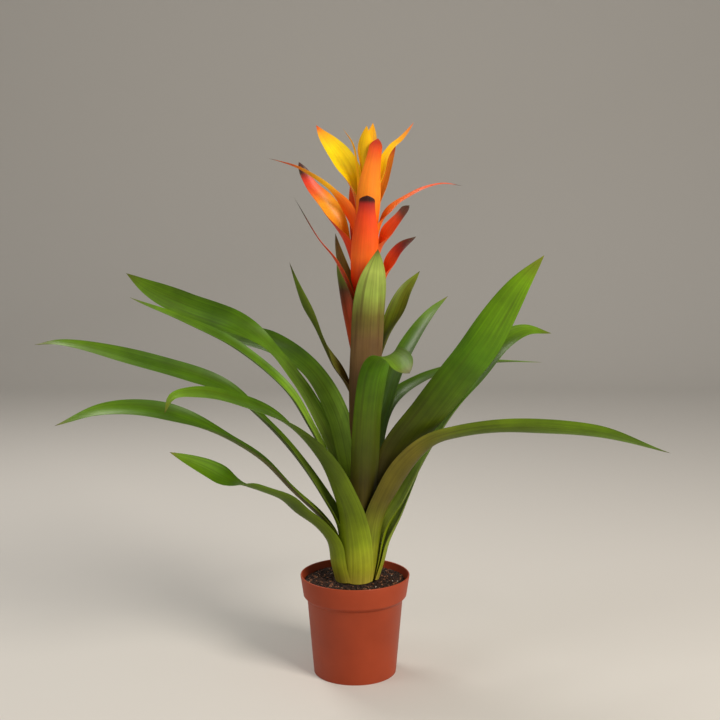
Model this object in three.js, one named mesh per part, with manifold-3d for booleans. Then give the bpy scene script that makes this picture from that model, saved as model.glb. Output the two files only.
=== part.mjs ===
// Potted bromeliad: one flowering tank bromeliad in a moulded plastic nursery pot.
// Units are millimetres, +Z is up. The origin is the centre of the pot's foot, on the surface
// that the pot stands on. Azimuths are in degrees: 0 is +X (right), 90 is +Y (away from the
// viewer), 180 is left and 270 is towards the viewer.
//
// The plant is a nest of sheaths round one upright flower stem. Every leaf starts as a sheath
// that is curved round the plant's axis, in a layer of its own, and turns into a free blade.

import * as THREE from 'three';
import { mergeVertices } from 'three/addons/utils/BufferGeometryUtils.js';
import Module from 'manifold-3d';

const wasm = await Module();
wasm.setup();

// ---------------------------------------------------------------- driving dimensions

const CLEARANCE = 0.3; // between pieces that touch

const POT = {
  height: 110,
  rimRadius: 60,
  rimBandHeight: 27,
  rimBandFootRadius: 56.8,
  rimBandChamfer: 5, // height of the sloping foot of the rim band
  bodyTopRadius: 52.5,
  footRadius: 45.5,
  wall: 1.6,
  lipRound: 0.9,
  floorHeight: 5,
  floorThickness: 1.8,
  segments: 48,
};

const DRAIN = {
  holeRadius: 5,
  holeCircle: 30,
  holeCount: 6,
  notchAzimuths: [90, 210, 330],
  notchWidth: 19,
};

const MIX = { topHeight: 104, crown: 1.2, segments: 40 };

const AXIS = { footX: 2, slope: 0.028 }; // the plant leans a little to the right

const STEM = { topHeight: 486, footRadius: 5, topRadius: 3.4, sides: 10, steps: 12 };

// Sheath layers, numbered outwards from the flower stem.
const NEST = {
  innerRadius: 8,
  pitch: 2.28,
  outerLayer: 8,
  swell: 0.25, // how much wider the outermost layer is at swellRise above the mix
  swellRise: 20,
};

const LEAF = {
  thickness: 1.1,
  across: 6, // facets from margin to margin
  stations: 13,
  sheathRun: 30, // length of plain sheath
  bladeRun: 110, // distance from the foot at which the blade is fully free
  shoulder: 0.7, // share of its length at which a blade starts to narrow
  turn: [30, 110], // reach from and to which a leaf turns to the azimuth of its tip
};

const BRACT = {
  thickness: 0.8,
  across: 4,
  stations: 12,
  sheathRun: 4,
  bladeRun: 60,
  wrap: 0.9,
  channel: 16,
  turn: [10, 45],
};

// Each leaf: azimuth of its foot and of its tip, layer, width of its blade, how far its sheath
// wraps to each side (radians), radius that its blade is channelled to, its twist as [share of
// its length, degrees], and its midrib above the sheath as [reach, height] points. A few leaves
// have a turn or a shoulder of their own. A tail, [share of its length, share of its width], is
// where the narrow end or the blunt tip of a blade starts.
const ROSETTE_LEAVES = {
  leaf_front_left_low: {
    azimuth: [210, 212], layer: 8, width: 26, wrap: 0.9, channel: 20,
    twist: [[0.4, 20], [0.62, 10], [0.8, -60], [1, -60]],
    midrib: [[35, 148], [50, 168], [73, 187], [92, 204], [119, 217], [157, 233], [184, 249], [222, 269]],
  },
  leaf_right_outer: {
    azimuth: [14, 52], layer: 8, width: 30, wrap: 0.85, channel: 24, twist: [],
    midrib: [[35, 145], [49, 174], [66, 205], [114, 254], [148, 285], [190, 312]],
  },
  leaf_front_left_hooked: {
    azimuth: [270, 222], turn: [10, 85], layer: 7, width: 28, wrap: 0.9, channel: 22,
    twist: [[0.4, 0], [0.7, -30], [1, -30]],
    midrib: [[30, 162], [41, 196], [62, 245], [106, 290], [168, 318], [215, 331], [241, 330], [249, 315]],
  },
  leaf_right_rear: {
    azimuth: [17, 15], layer: 7, width: 34, wrap: 0.8, channel: 24,
    twist: [[0.5, 0], [0.8, 40]],
    midrib: [[32, 158], [50, 189], [80, 247], [124, 315], [157, 358], [187, 374], [219, 370]],
  },
  leaf_right_long: {
    azimuth: [322, 354], layer: 6, width: 30, wrap: 0.9, channel: 24, shoulder: 0.8,
    twist: [[0.4, -35], [0.7, -42], [1, -20]],
    midrib: [[27, 174], [38, 203], [55, 235], [77, 258], [107, 267], [165, 274], [255, 269], [330, 251]],
  },
  leaf_left_lower: {
    azimuth: [188, 190], layer: 6, width: 28, wrap: 0.75, channel: 22,
    twist: [[0.5, 0], [0.72, -35], [1, -30]],
    midrib: [[25, 148], [40, 171], [74, 205], [111, 243], [167, 277], [215, 295], [276, 299], [323, 284]],
  },
  leaf_rear_low: {
    azimuth: [85, 88], layer: 6, width: 30, wrap: 0.85, channel: 24, twist: [],
    midrib: [[26, 150], [42, 185], [72, 215], [110, 235], [145, 240], [172, 232]],
  },
  leaf_front_short: {
    azimuth: [286, 287], layer: 5, width: 34, wrap: 0.48, channel: 24, tail: [0.93, 0.7],
    twist: [[0.6, 0], [1, 30]],
    midrib: [[19, 170], [22, 214], [25, 263], [31, 300], [46, 335], [74, 357], [110, 361], [150, 350]],
  },
  leaf_left_middle: {
    azimuth: [170, 185], layer: 5, width: 28, wrap: 0.85, channel: 22,
    twist: [[0.4, 0], [0.65, -35], [1, -30]],
    midrib: [[23, 163], [40, 194], [68, 236], [104, 279], [147, 316], [227, 344], [320, 368], [347, 366]],
  },
  leaf_rear_middle: {
    azimuth: [70, 84], layer: 5, width: 30, wrap: 0.68, channel: 24, twist: [],
    midrib: [[22, 165], [32, 215], [54, 258], [90, 292], [130, 306], [168, 302]],
  },
  leaf_left_upper: {
    azimuth: [172, 180], layer: 4, width: 24, wrap: 0.7, channel: 14,
    twist: [[0.3, 0], [0.6, -15], [1, -20]],
    midrib: [[17, 170], [28, 208], [45, 250], [59, 276], [84, 315], [138, 360], [192, 388], [252, 414]],
  },
  leaf_right_tall: {
    azimuth: [350, 333], layer: 4, width: 42, wrap: 0.65, channel: 30,
    twist: [[0.35, -62], [0.7, -70], [1, -60]],
    midrib: [[17, 170], [31, 210], [43, 247], [76, 292], [107, 331], [133, 366], [173, 431], [197, 461]],
  },
  leaf_rear_right_long: {
    azimuth: [57, 32], layer: 4, width: 26, wrap: 0.42, channel: 22, twist: [],
    midrib: [[16, 175], [21, 212], [31, 250], [51, 292], [87, 318], [145, 331], [197, 332], [255, 328]],
  },
  leaf_left_broad: {
    azimuth: [140, 161], layer: 3, width: 30, wrap: 0.65, channel: 28, shoulder: 0.82,
    twist: [[0.55, 0], [0.75, -75], [1, -80]],
    midrib: [[14, 170], [20, 208], [44, 254], [68, 296], [84, 322], [107, 352], [150, 381], [212, 401],
      [262, 420], [291, 436]],
  },
  leaf_rear_right_erect: {
    azimuth: [46, 52], layer: 3, width: 26, wrap: 0.5, channel: 22, twist: [],
    midrib: [[14, 180], [20, 234], [37, 287], [61, 335], [95, 366], [130, 393], [161, 408]],
  },
  leaf_left_twisted: {
    azimuth: [124, 141], layer: 2, width: 26, wrap: 0.7, channel: 26,
    twist: [[0.22, 0], [0.34, -40], [0.52, -20], [0.75, -65], [1, -60]],
    midrib: [[11, 170], [14, 205], [24, 239], [46, 282], [80, 327], [133, 356], [196, 363], [268, 374]],
  },
  leaf_rear_erect: {
    azimuth: [86, 94], layer: 1, width: 24, wrap: 0.8, channel: 20, twist: [],
    midrib: [[8, 170], [9, 215], [18, 262], [44, 318], [88, 362], [146, 384]],
  },
};

// Leaves on the flower stem: as above, with the height of their foot on the stem and a shoulder
// each.
const STEM_LEAVES = {
  stem_leaf_front: {
    azimuth: [285, 287], foot: 222, width: 42, wrap: 1.4, channel: 21, shoulder: 0.72, twist: [],
    midrib: [[9, 250], [15, 290], [20, 340], [25, 390], [33, 430], [45, 466]],
  },
  stem_leaf_rear: {
    azimuth: [93, 92], foot: 240, width: 18, wrap: 0.66, channel: 16, shoulder: 0.35, twist: [],
    midrib: [[8, 270], [12, 310], [18, 350], [28, 382], [42, 404]],
  },
  stem_leaf_left: {
    azimuth: [186, 192], foot: 285, width: 20, wrap: 0.9, channel: 12, shoulder: 0.35,
    twist: [[0.3, -30], [0.5, 0], [0.75, 40], [1, 30]],
    midrib: [[11, 305], [21, 325], [37, 350], [53, 383], [69, 418], [82, 452]],
  },
  stem_leaf_right: {
    azimuth: [25, 30], foot: 300, width: 24, wrap: 1.0, channel: 14, shoulder: 0.55,
    twist: [[0.45, 0], [0.75, 45]],
    midrib: [[10, 320], [18, 345], [32, 380], [48, 418], [67, 441]],
  },
  stem_leaf_front_left: {
    azimuth: [212, 208], foot: 325, width: 28, wrap: 1.0, channel: 14, shoulder: 0.55, twist: [],
    midrib: [[10, 345], [17, 370], [25, 401], [31, 428], [36, 450]],
  },
  stem_leaf_rear_left: {
    azimuth: [152, 156], foot: 345, width: 30, wrap: 1.0, channel: 15, shoulder: 0.55, twist: [],
    midrib: [[10, 365], [15, 388], [21, 413], [32, 448], [38, 482]],
  },
};

// Flower bracts, from the lowest to the topmost: as above.
const FLOWER_BRACTS = [
  {
    azimuth: [195, 195], foot: 380, width: 18, shoulder: 0.3, tail: [0.7, 0.35], twist: [],
    midrib: [[13, 402], [22, 430], [34, 454], [53, 477], [80, 520]],
  },
  {
    azimuth: [335, 335], foot: 385, width: 26, shoulder: 0.5, twist: [[0.35, 0], [0.7, 55]],
    midrib: [[12, 402], [22, 430], [39, 465], [57, 479]],
  },
  {
    azimuth: [85, 85], foot: 390, width: 30, shoulder: 0.4, twist: [],
    midrib: [[12, 410], [24, 445], [36, 480], [52, 506]],
  },
  {
    azimuth: [257, 275], foot: 396, width: 35, shoulder: 0.58, tail: [0.96, 0.5], twist: [],
    midrib: [[12, 418], [22, 450], [29, 485], [31, 521]],
  },
  {
    azimuth: [195, 178], foot: 403, width: 32, shoulder: 0.6, tail: [0.9, 0.5],
    twist: [[0.35, 0], [0.65, -45]],
    midrib: [[9, 420], [14, 445], [21, 466], [31, 487], [46, 513], [62, 533], [74, 557]],
  },
  {
    azimuth: [340, 336], foot: 408, width: 28, shoulder: 0.6, tail: [0.92, 0.6],
    twist: [[0.42, 0], [0.72, 50]],
    midrib: [[8, 424], [13, 455], [25, 480], [38, 498], [48, 511]],
  },
  {
    azimuth: [110, 110], foot: 418, width: 28, shoulder: 0.4, twist: [],
    midrib: [[9, 434], [18, 466], [34, 506], [54, 540]],
  },
  {
    azimuth: [350, 350], foot: 424, width: 26, shoulder: 0.3, tail: [0.62, 0.22],
    twist: [[0.36, 0], [0.55, 50], [1, 20]],
    midrib: [[8, 440], [13, 483], [20, 501], [30, 513], [44, 522], [61, 530], [80, 534], [101, 531]],
  },
  {
    azimuth: [185, 196], foot: 430, width: 26, shoulder: 0.3, tail: [0.6, 0.24],
    twist: [[0.25, 0], [0.5, 55], [1, 20]],
    midrib: [[10, 450], [15, 484], [23, 510], [34, 523], [46, 533], [76, 550], [92, 555], [109, 559]],
  },
  {
    azimuth: [78, 78], foot: 436, width: 22, shoulder: 0.4, twist: [],
    midrib: [[8.3, 456], [13.2, 491], [26, 530], [44, 566]],
  },
  {
    azimuth: [270, 298], turn: [12, 19], foot: 441, width: 32, shoulder: 0.5, tail: [0.93, 0.5],
    twist: [],
    midrib: [[8.8, 464], [13.8, 505], [15.3, 540], [19, 580]],
  },
  {
    azimuth: [37, 38], foot: 446, width: 20, shoulder: 0.5, twist: [[0.4, 0], [0.7, 30]],
    midrib: [[6.8, 462], [9.8, 490], [15, 525], [27, 559], [37, 581]],
  },
  {
    azimuth: [158, 151], foot: 453, width: 30, shoulder: 0.6, twist: [[0.4, 0], [0.65, -45]],
    midrib: [[7.7, 475], [11.7, 508], [21.5, 542], [32, 559], [46, 575], [58, 588], [66, 598]],
  },
  {
    azimuth: [25, 25], foot: 456, width: 26, shoulder: 0.4, tail: [0.75, 0.28],
    twist: [[0.4, 0], [0.65, 40]],
    midrib: [[6.8, 478], [9, 505], [12, 536], [17, 559], [26, 573], [37, 582], [46, 592], [52, 600]],
  },
  {
    azimuth: [200, 200], foot: 462, width: 16, shoulder: 0.35, tail: [0.75, 0.35], twist: [],
    midrib: [[7, 482], [10.5, 520], [13, 550], [18, 574], [30, 591]],
  },
  {
    azimuth: [335, 340], foot: 467, width: 15, shoulder: 0.5, twist: [],
    midrib: [[5.5, 490], [7.6, 520], [9, 550], [10, 568]],
  },
  {
    azimuth: [236, 260], turn: [8, 18], foot: 474, width: 24, shoulder: 0.65, twist: [],
    midrib: [[4.8, 495], [6, 527], [8.5, 550], [13, 570], [18, 593]],
  },
  {
    azimuth: [80, 50], foot: 479, width: 20, shoulder: 0.65, twist: [],
    midrib: [[4.4, 498], [5, 527], [6.6, 562], [16, 599]],
  },
];

const COLOURS = {
  pot: 0x8f3f26,
  mix: 0x2b1d14,
  stem: 0x6f7f2c,
  leaf: 0x3f7a22,
  stemLeaf: 0x4c5a22,
  bractLow: 0xcf2a12,
  bractTop: 0xf4b414,
};

// ---------------------------------------------------------------- helpers

const radians = THREE.MathUtils.degToRad;
const lerp = THREE.MathUtils.lerp;
const smoothstep = THREE.MathUtils.smoothstep;

function axisX(height) {
  return AXIS.footX + AXIS.slope * (height - MIX.topHeight);
}

function finish(colour, roughness) {
  return new THREE.MeshStandardMaterial({ color: colour, roughness, metalness: 0 });
}

function named(name, geometry, material) {
  const mesh = new THREE.Mesh(geometry, material);
  mesh.name = name;
  return mesh;
}

function toSolid(geometry) {
  const bare = geometry.clone();
  bare.deleteAttribute('normal');
  bare.deleteAttribute('uv');
  const merged = mergeVertices(bare, 1e-3);
  return new wasm.Manifold(new wasm.Mesh({
    numProp: 3,
    vertProperties: new Float32Array(merged.attributes.position.array),
    triVerts: new Uint32Array(merged.index.array),
  }));
}

function toGeometry(solid) {
  const mesh = solid.getMesh();
  const geometry = new THREE.BufferGeometry();
  geometry.setAttribute('position', new THREE.BufferAttribute(mesh.vertProperties, mesh.numProp));
  geometry.setIndex(new THREE.BufferAttribute(mesh.triVerts, 1));
  return geometry;
}

// A turned shape about +Z, from a profile of [radius, height] points.
function turned(profile, segments) {
  const points = profile.map(([radius, height]) => new THREE.Vector2(radius, height));
  return new THREE.LatheGeometry(points, segments).rotateX(Math.PI / 2);
}

function roundStretch(radius, height, round, fromDegrees, toDegrees, steps) {
  return Array.from({ length: steps + 1 }, (_, i) => {
    const angle = radians(lerp(fromDegrees, toDegrees, i / steps));
    return [radius + round * Math.cos(angle), height + round * Math.sin(angle)];
  });
}

// ---------------------------------------------------------------- pot and potting mix

// Radius of the pot's outer wall below the rim band.
function bodyRadius(height) {
  return lerp(POT.footRadius, POT.bodyTopRadius, height / (POT.height - POT.rimBandHeight));
}

// The moulded wall: foot skirt, tapered body, chamfer, rim band, round lip, and back down inside
// to the raised floor.
function potProfile() {
  const bandFoot = POT.height - POT.rimBandHeight;
  const floorTop = POT.floorHeight + POT.floorThickness;
  const lipHeight = POT.height - POT.lipRound;
  return [
    [0, POT.floorHeight],
    [bodyRadius(POT.floorHeight) - POT.wall, POT.floorHeight],
    [POT.footRadius - POT.wall, 0],
    [POT.footRadius, 0],
    [POT.bodyTopRadius, bandFoot],
    [POT.rimBandFootRadius, bandFoot + POT.rimBandChamfer],
    ...roundStretch(POT.rimRadius - POT.lipRound, lipHeight, POT.lipRound, 0, 180, 4),
    [POT.rimBandFootRadius - POT.wall, bandFoot + POT.rimBandChamfer + POT.wall / 2],
    [POT.bodyTopRadius - POT.wall, bandFoot + POT.wall / 2],
    [bodyRadius(floorTop) - POT.wall, floorTop],
    [0, floorTop],
  ];
}

function potGeometry() {
  let pot = toSolid(turned(potProfile(), POT.segments));
  const holeHeight = 4 * POT.floorThickness;
  for (let i = 0; i < DRAIN.holeCount; i += 1) {
    const azimuth = (2 * Math.PI * i) / DRAIN.holeCount;
    const hole = new THREE.CylinderGeometry(DRAIN.holeRadius, DRAIN.holeRadius, holeHeight, 12);
    hole.rotateX(Math.PI / 2);
    hole.translate(
      DRAIN.holeCircle * Math.cos(azimuth),
      DRAIN.holeCircle * Math.sin(azimuth),
      POT.floorHeight,
    );
    pot = pot.subtract(toSolid(hole));
  }
  const notchDepth = 4 * POT.wall;
  for (const azimuth of DRAIN.notchAzimuths) {
    const notch = new THREE.BoxGeometry(notchDepth, DRAIN.notchWidth, 2 * POT.floorHeight);
    notch.translate(POT.footRadius, 0, -CLEARANCE);
    notch.rotateZ(radians(azimuth));
    pot = pot.subtract(toSolid(notch));
  }
  return toGeometry(pot);
}

function mixGeometry() {
  const foot = POT.floorHeight + POT.floorThickness + CLEARANCE;
  const bandFoot = POT.height - POT.rimBandHeight;
  const inside = POT.wall + CLEARANCE;
  const edgeRadius = POT.rimBandFootRadius - inside;
  const profile = [
    [0, foot],
    [bodyRadius(foot) - inside, foot],
    [POT.bodyTopRadius - inside, bandFoot + POT.wall],
    [edgeRadius, bandFoot + POT.rimBandChamfer + POT.wall],
    [edgeRadius, MIX.topHeight - MIX.crown],
    [edgeRadius / 2, MIX.topHeight],
    [0, MIX.topHeight],
  ];
  return turned(profile, MIX.segments);
}

// ---------------------------------------------------------------- flower stem

function stemRadius(height) {
  const share = (height - MIX.topHeight) / (STEM.topHeight - MIX.topHeight);
  return lerp(STEM.footRadius, STEM.topRadius, share);
}

function stemGeometry() {
  const foot = MIX.topHeight + CLEARANCE;
  const rings = Array.from({ length: STEM.steps + 1 }, (_, i) => {
    const height = lerp(foot, STEM.topHeight, i / STEM.steps);
    return { height, radius: stemRadius(height) };
  });
  const positions = rings.flatMap(({ height, radius }) =>
    Array.from({ length: STEM.sides }, (_, k) => {
      const angle = (2 * Math.PI * k) / STEM.sides;
      return [axisX(height) + radius * Math.cos(angle), radius * Math.sin(angle), height];
    }));
  return closedLoft(positions, STEM.sides, rings.length);
}

// A closed solid through rings of points; each end is closed by a fan about its first point.
function closedLoft(positions, ringSize, ringCount) {
  const index = [];
  for (let ring = 0; ring < ringCount - 1; ring += 1) {
    for (let k = 0; k < ringSize; k += 1) {
      const a = ring * ringSize + k;
      const b = ring * ringSize + ((k + 1) % ringSize);
      index.push(a, b, b + ringSize, a, b + ringSize, a + ringSize);
    }
  }
  const last = (ringCount - 1) * ringSize;
  for (let k = 1; k < ringSize - 1; k += 1) {
    index.push(0, k + 1, k, last, last + k, last + k + 1);
  }
  const geometry = new THREE.BufferGeometry();
  geometry.setAttribute('position', new THREE.Float32BufferAttribute(positions.flat(), 3));
  geometry.setIndex(index);
  return geometry;
}

// ---------------------------------------------------------------- blades

// The point at a reach from the leaning axis, at an azimuth and a height.
function placed(reach, azimuth, height) {
  return new THREE.Vector3(
    axisX(height) + reach * Math.cos(radians(azimuth)),
    reach * Math.sin(radians(azimuth)),
    height,
  );
}

// The midrib's points above the foot; on its way out the leaf turns to the azimuth of its tip.
function midribPoints({ azimuth, midrib, turn = LEAF.turn }) {
  return midrib.map(([reach, height]) => {
    const turned = smoothstep(reach, ...turn);
    return placed(reach, lerp(...azimuth, turned), height);
  });
}

// Width of a blade at a share of its length, as a share of its full width: parallel, then drawn
// in to a tail, if it has one, and out to a point.
function taper(share, shoulder, tail = [shoulder, 1]) {
  const [tailStart, tailWidth] = tail;
  if (share < tailStart) {
    return lerp(1, tailWidth, smoothstep(share, shoulder, tailStart));
  }
  const left = (share - tailStart) / (1 - tailStart);
  return tailWidth * (1 - left ** 2);
}

// Twist at a share of the length: none at the foot, then eased from one [share, degrees] to the
// next.
function twistAt(share, twist) {
  let [fromShare, fromTwist] = [0, 0];
  for (const [toShare, toTwist] of twist) {
    if (share <= toShare) {
      return lerp(fromTwist, toTwist, smoothstep(share, fromShare, toShare));
    }
    [fromShare, fromTwist] = [toShare, toTwist];
  }
  return fromTwist;
}

// One leaf or bract. Its section is an arc, thickest at the midrib and sharp at both margins.
// At the foot the arc is concentric with the plant's axis; the blade is a shallow channel.
function bladeGeometry(spec, size) {
  const curve = new THREE.CatmullRomCurve3(spec.points, false, 'centripetal');
  const length = curve.getLength();
  const { across, stations, thickness } = size;
  const ringSize = 2 * across;
  const positions = [];
  for (let i = 0; i < stations; i += 1) {
    const share = (i / stations) ** 1.15;
    const centre = curve.getPointAt(share);
    const along = curve.getTangentAt(share);
    const outX = centre.x - axisX(centre.z);
    const reach = Math.hypot(outX, centre.y);
    const side = new THREE.Vector3(-centre.y, outX, 0).divideScalar(reach);
    side.addScaledVector(along, -side.dot(along)).normalize();
    const inner = new THREE.Vector3().crossVectors(along, side);
    const free = smoothstep(share * length, size.sheathRun, size.bladeRun);
    const twist = radians(twistAt(share, spec.twist)) * free;
    side.applyAxisAngle(along, twist);
    inner.applyAxisAngle(along, twist);
    const radius = Math.min(reach, spec.channel);
    const sheathHalf = spec.wrap * radius;
    const half = lerp(sheathHalf, spec.width / 2, free) * taper(share, size.shoulder, size.tail);
    const spread = half / radius;
    const point = (k, offset) => {
      const angle = lerp(-spread, spread, k / across);
      const depth = radius - offset;
      return centre.clone()
        .addScaledVector(side, depth * Math.sin(angle))
        .addScaledVector(inner, radius - depth * Math.cos(angle))
        .toArray();
    };
    const bulge = (k) => (thickness / 2) * Math.sqrt(1 - (2 * k / across - 1) ** 2);
    for (let k = 0; k <= across; k += 1) {
      positions.push(point(k, bulge(k)));
    }
    for (let k = across - 1; k >= 1; k -= 1) {
      positions.push(point(k, -bulge(k)));
    }
  }
  return pointedLoft(positions, ringSize, stations, across, curve.getPointAt(1));
}

// A closed solid through lens-shaped rings that ends in one point. The diagonals of its two faces
// run the same way, so that a twisted blade's faces don't cross.
function pointedLoft(positions, ringSize, ringCount, across, tip) {
  const index = [];
  for (let ring = 0; ring < ringCount - 1; ring += 1) {
    for (let k = 0; k < ringSize; k += 1) {
      const a = ring * ringSize + k;
      const b = ring * ringSize + ((k + 1) % ringSize);
      if (k < across) {
        index.push(a, a + ringSize, b + ringSize, a, b + ringSize, b);
      } else {
        index.push(a, a + ringSize, b, b, a + ringSize, b + ringSize);
      }
    }
  }
  const opposite = (k) => (ringSize - k) % ringSize;
  for (let k = 0; k < across; k += 1) {
    index.push(k, k + 1, opposite(k + 1));
    index.push(k, opposite(k + 1), opposite(k));
  }
  const last = (ringCount - 1) * ringSize;
  const tipIndex = positions.length;
  for (let k = 0; k < ringSize; k += 1) {
    index.push(last + k, tipIndex, last + ((k + 1) % ringSize));
  }
  const geometry = new THREE.BufferGeometry();
  geometry.setAttribute(
    'position',
    new THREE.Float32BufferAttribute([...positions.flat(), ...tip.toArray()], 3),
  );
  geometry.setIndex(index.filter((_, i) => !isEmptyTriangle(index, i)));
  return geometry;
}

// True for an entry of a triangle that names one corner twice, as at a sharp margin.
function isEmptyTriangle(index, entry) {
  const first = entry - (entry % 3);
  const [a, b, c] = index.slice(first, first + 3);
  return a === b || b === c || c === a;
}

function nestRadius(layer) {
  return NEST.innerRadius + NEST.pitch * (layer - 1);
}

// A rosette leaf stands on the mix, in its layer, and the tank swells just above it.
function rosettePoints(spec) {
  const radius = nestRadius(spec.layer);
  const foot = MIX.topHeight + CLEARANCE;
  const swollen = radius * (1 + NEST.swell * (spec.layer / NEST.outerLayer) ** 2);
  return [
    placed(radius, spec.azimuth[0], foot),
    placed(swollen, spec.azimuth[0], foot + NEST.swellRise),
    ...midribPoints(spec),
  ];
}

// A leaf or bract on the flower stem has its foot against the stem.
function stemPoints(spec, thickness) {
  const reach = stemRadius(spec.foot) + CLEARANCE + thickness / 2;
  return [placed(reach, spec.azimuth[0], spec.foot), ...midribPoints(spec)];
}

// ---------------------------------------------------------------- assembly

const bromeliad = new THREE.Group();

bromeliad.add(named('pot', potGeometry(), finish(COLOURS.pot, 0.45)));
bromeliad.add(named('potting_mix', mixGeometry(), finish(COLOURS.mix, 0.95)));
bromeliad.add(named('flower_stem', stemGeometry(), finish(COLOURS.stem, 0.5)));

for (const [name, spec] of Object.entries(ROSETTE_LEAVES)) {
  const size = { ...LEAF, ...spec };
  const geometry = bladeGeometry({ ...spec, points: rosettePoints(spec) }, size);
  bromeliad.add(named(name, geometry, finish(COLOURS.leaf, 0.4)));
}

for (const [name, spec] of Object.entries(STEM_LEAVES)) {
  const size = { ...LEAF, sheathRun: 10, bladeRun: 70, shoulder: spec.shoulder, stations: 12 };
  const geometry = bladeGeometry({ ...spec, points: stemPoints(spec, LEAF.thickness) }, size);
  bromeliad.add(named(name, geometry, finish(COLOURS.stemLeaf, 0.4)));
}

const bractColour = new THREE.Color();
FLOWER_BRACTS.forEach((spec, i) => {
  const whole = { ...BRACT, ...spec };
  const points = stemPoints(whole, BRACT.thickness);
  bractColour.lerpColors(
    new THREE.Color(COLOURS.bractLow),
    new THREE.Color(COLOURS.bractTop),
    i / (FLOWER_BRACTS.length - 1),
  );
  const name = `flower_bract_${String(i + 1).padStart(2, '0')}`;
  const geometry = bladeGeometry({ ...whole, points }, whole);
  bromeliad.add(named(name, geometry, finish(bractColour.getHex(), 0.4)));
});

export default bromeliad;
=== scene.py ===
"""Potted bromeliad: one flowering tank bromeliad in a moulded plastic nursery pot."""

from math import cos, pi, radians, sin

import bpy
import numpy as np
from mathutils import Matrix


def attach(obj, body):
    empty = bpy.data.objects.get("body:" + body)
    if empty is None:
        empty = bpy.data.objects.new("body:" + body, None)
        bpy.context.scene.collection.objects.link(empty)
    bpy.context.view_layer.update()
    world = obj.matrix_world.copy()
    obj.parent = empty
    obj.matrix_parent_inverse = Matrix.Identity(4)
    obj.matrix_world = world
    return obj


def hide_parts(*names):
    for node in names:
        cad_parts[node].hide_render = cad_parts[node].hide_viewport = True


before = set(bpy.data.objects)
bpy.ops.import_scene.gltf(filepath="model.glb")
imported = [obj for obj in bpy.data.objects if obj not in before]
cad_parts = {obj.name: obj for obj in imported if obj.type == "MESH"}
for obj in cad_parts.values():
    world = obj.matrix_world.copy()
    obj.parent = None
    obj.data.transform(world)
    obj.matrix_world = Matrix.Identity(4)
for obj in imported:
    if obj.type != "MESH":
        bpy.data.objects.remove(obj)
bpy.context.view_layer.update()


# ---- Camera ---------------------------------------------------------------------------------
# The photograph was taken with a short portrait lens from 1.2 m in front of the plant, just
# below the height of its flower, and tilted down a little.

CAMERA_PLACE = (0.0055, -1.207, 0.486)
CAMERA_TILT = 6.6  # degrees below the horizon

camera = bpy.data.objects.new("camera", bpy.data.cameras.new("camera"))
camera.data.sensor_width = 36.0
camera.data.lens = 56.4
camera.location = CAMERA_PLACE
camera.rotation_euler = (radians(90 - CAMERA_TILT), 0.0, 0.0)
bpy.context.collection.objects.link(camera)
bpy.context.scene.camera = camera


# ---- Studio ---------------------------------------------------------------------------------
# A pale sweep of paper under and behind the plant. A large soft box hangs in front on the right,
# a weak one fills from the left, and a third lights the flower and the leaves from behind.

PAPER_HEX = "#d3d0cb"
SKY_HEX = "#e9e6e1"
SWEEP = {"width": 8.0, "front": -3.0, "back": 2.2, "round": 0.9, "height": 4.0}


def linear(hex_colour):
    """An sRGB hex colour as linear red, green, blue and an alpha of 1."""
    channels = [int(hex_colour[i:i + 2], 16) / 255 for i in (1, 3, 5)]
    return [c / 12.92 if c <= 0.04045 else ((c + 0.055) / 1.055) ** 2.4 for c in channels] + [1.0]


def add(tree, kind, inputs=None, **settings):
    """Add a node, set its settings, and fill or link its inputs."""
    node = tree.nodes.new(kind)
    for key, value in settings.items():
        setattr(node, key, value)
    for key, value in (inputs or {}).items():
        if isinstance(value, bpy.types.NodeSocket):
            tree.links.new(value, node.inputs[key])
        else:
            node.inputs[key].default_value = value
    return node


def material(name):
    """A new material with an empty node tree."""
    made = bpy.data.materials.new(name)
    made.use_nodes = True
    made.node_tree.nodes.clear()
    return made


def finished(tree, shader):
    """Link a shader to the tree's output."""
    add(tree, "ShaderNodeOutputMaterial", {"Surface": shader.outputs["BSDF"]})


def mesh_object(name, vertices, faces, finish, smooth=True):
    """A linked object with one material."""
    mesh = bpy.data.meshes.new(name)
    mesh.from_pydata(vertices, [], faces)
    mesh.polygons.foreach_set("use_smooth", [smooth] * len(mesh.polygons))
    mesh.materials.append(finish)
    made = bpy.data.objects.new(name, mesh)
    bpy.context.collection.objects.link(made)
    return made


paper = material("matt background paper")
tree = paper.node_tree
finished(tree, add(tree, "ShaderNodeBsdfPrincipled", {
    "Base Color": linear(PAPER_HEX), "Roughness": 0.9, "Specular IOR Level": 0.2}))

bend = [(SWEEP["back"] + SWEEP["round"] * sin(a), SWEEP["round"] * (1 - cos(a)))
        for a in np.linspace(0, pi / 2, 17)]
profile = [(SWEEP["front"], 0.0), *bend, (SWEEP["back"] + SWEEP["round"], SWEEP["height"])]
sweep = mesh_object(
    "paper_sweep",
    [(x, y, z) for x in (-SWEEP["width"] / 2, SWEEP["width"] / 2) for y, z in profile],
    [(i, i + len(profile), i + len(profile) + 1, i + 1) for i in range(len(profile) - 1)],
    paper,
)

world = bpy.data.worlds.new("studio")
world.use_nodes = True
world.node_tree.nodes["Background"].inputs["Color"].default_value = linear(SKY_HEX)
world.node_tree.nodes["Background"].inputs["Strength"].default_value = 0.34
bpy.context.scene.world = world
bpy.context.scene.view_settings.view_transform = "Standard"

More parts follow.
